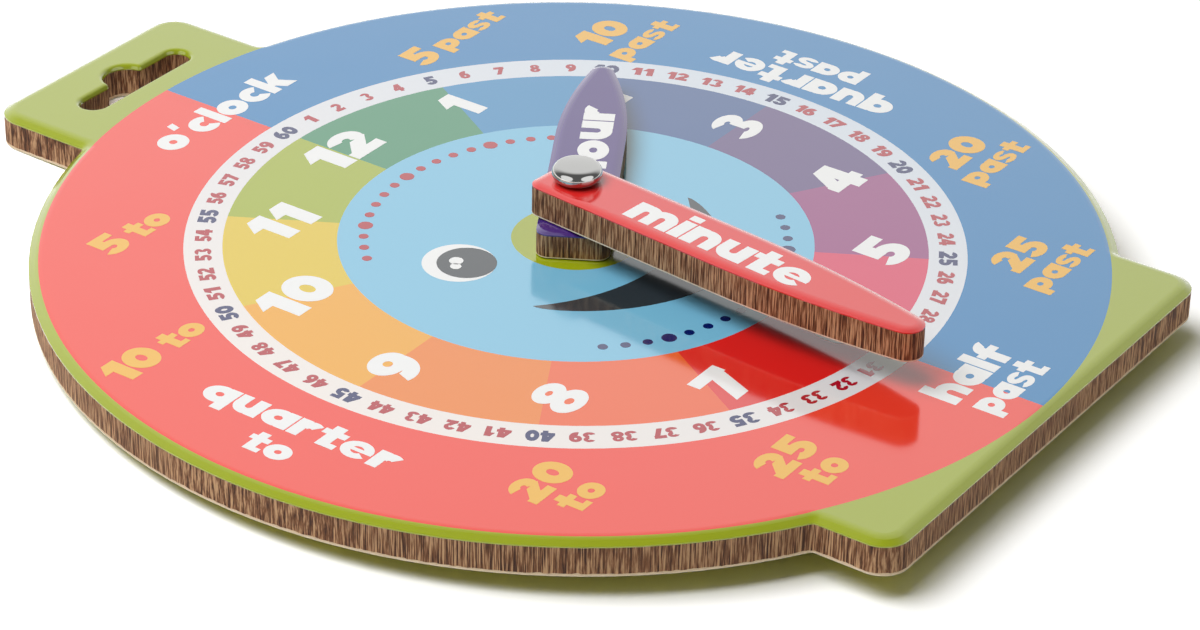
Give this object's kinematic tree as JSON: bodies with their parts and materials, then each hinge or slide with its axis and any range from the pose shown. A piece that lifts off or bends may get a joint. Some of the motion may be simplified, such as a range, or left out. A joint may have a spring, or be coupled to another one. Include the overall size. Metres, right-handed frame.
{
  "type": "teaching clock",
  "caption": "Flat round teaching clock: a printed fibre board with a hang tab and a foot, and loose hour and minute hands on a capped centre rivet.",
  "frame": {"origin": "on the pivot axis, at the flat of the rivet's rear cap, the lowest face of the clock lying on its back", "axes": "+X towards 3 on the dial, +Y towards 12 and the hang tab, +Z out of the dial"},
  "size_m": [0.214, 0.2357, 0.0271],
  "materials": {
    "fibre_board": "die-cut fibre board edge",
    "dial_print": "printed paper under gloss film",
    "back_paper": "plain coloured paper",
    "hour_print": "printed paper under gloss film",
    "minute_print": "printed paper under gloss film",
    "hand_back_paper": "plain paper",
    "slip_film": "thin clear film",
    "chrome": "polished",
    "steel": "plated"
  },
  "bodies": {
    "board": {"board_core": "fibre_board", "dial_sheet": "dial_print", "back_sheet": "back_paper", "rear_cap": "chrome", "front_cap": "chrome", "rivet_tube": "steel", "rivet_pin": "steel", "rear_washer": "steel", "dial_washer": "slip_film", "hands_washer": "slip_film"},
    "hour_hand": {"hour_core": "fibre_board", "hour_face_sheet": "hour_print", "hour_back_sheet": "hand_back_paper"},
    "minute_hand": {"minute_core": "fibre_board", "minute_face_sheet": "minute_print", "minute_back_sheet": "hand_back_paper"}
  },
  "joints": [
    {"name": "hour_hand_turn", "type": "hinge", "parent": "board", "child": "hour_hand", "pos_m": [0, 0, 0.01335], "axis": [0, 0, -1], "continuous": true},
    {"name": "minute_hand_turn", "type": "hinge", "parent": "board", "child": "minute_hand", "pos_m": [0, 0, 0.0198], "axis": [0, 0, -1], "continuous": true}
  ]
}
